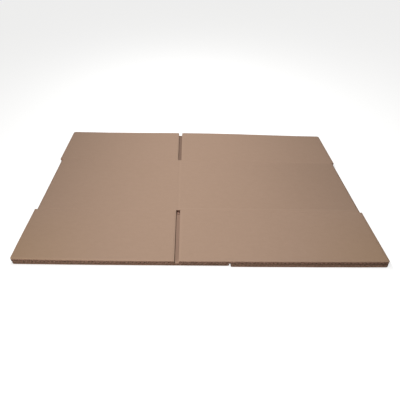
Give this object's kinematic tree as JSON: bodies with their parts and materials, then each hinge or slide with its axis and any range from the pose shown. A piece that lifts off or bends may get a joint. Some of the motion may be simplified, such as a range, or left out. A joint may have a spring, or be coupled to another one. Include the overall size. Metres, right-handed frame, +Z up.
{
  "type": "flattened cardboard box",
  "caption": "Slotted shipping carton of fluted board, glued at its side joint and folded flat, with hinged upper flaps.",
  "frame": {"origin": "on the floor, under the middle of the carton's whole outline", "axes": "+X to the right across both panels, +Y from the front flaps to the back flaps, +Z up out of the upper layer"},
  "size_m": [0.752, 0.55, 0.0162],
  "materials": {
    "kraft_board": "matt unprinted kraft liner"
  },
  "bodies": {
    "carton": {"carton": "kraft_board"},
    "front_narrow_flap": {"front_narrow_flap": "kraft_board"},
    "front_wide_flap": {"front_wide_flap": "kraft_board"},
    "back_narrow_flap": {"back_narrow_flap": "kraft_board"},
    "back_wide_flap": {"back_wide_flap": "kraft_board"}
  },
  "joints": [
    {"name": "front_narrow_flap_fold", "type": "hinge", "parent": "carton", "child": "front_narrow_flap", "pos_m": [-0.2165, -0.112, 0.0154], "axis": [-1, 0, 0], "range_deg": [0, 120]},
    {"name": "front_wide_flap_fold", "type": "hinge", "parent": "carton", "child": "front_wide_flap", "pos_m": [0.164, -0.112, 0.0154], "axis": [-1, 0, 0], "range_deg": [0, 120]},
    {"name": "back_narrow_flap_fold", "type": "hinge", "parent": "carton", "child": "back_narrow_flap", "pos_m": [-0.2165, 0.112, 0.0154], "axis": [1, 0, 0], "range_deg": [0, 120]},
    {"name": "back_wide_flap_fold", "type": "hinge", "parent": "carton", "child": "back_wide_flap", "pos_m": [0.164, 0.112, 0.0154], "axis": [1, 0, 0], "range_deg": [0, 120]}
  ]
}
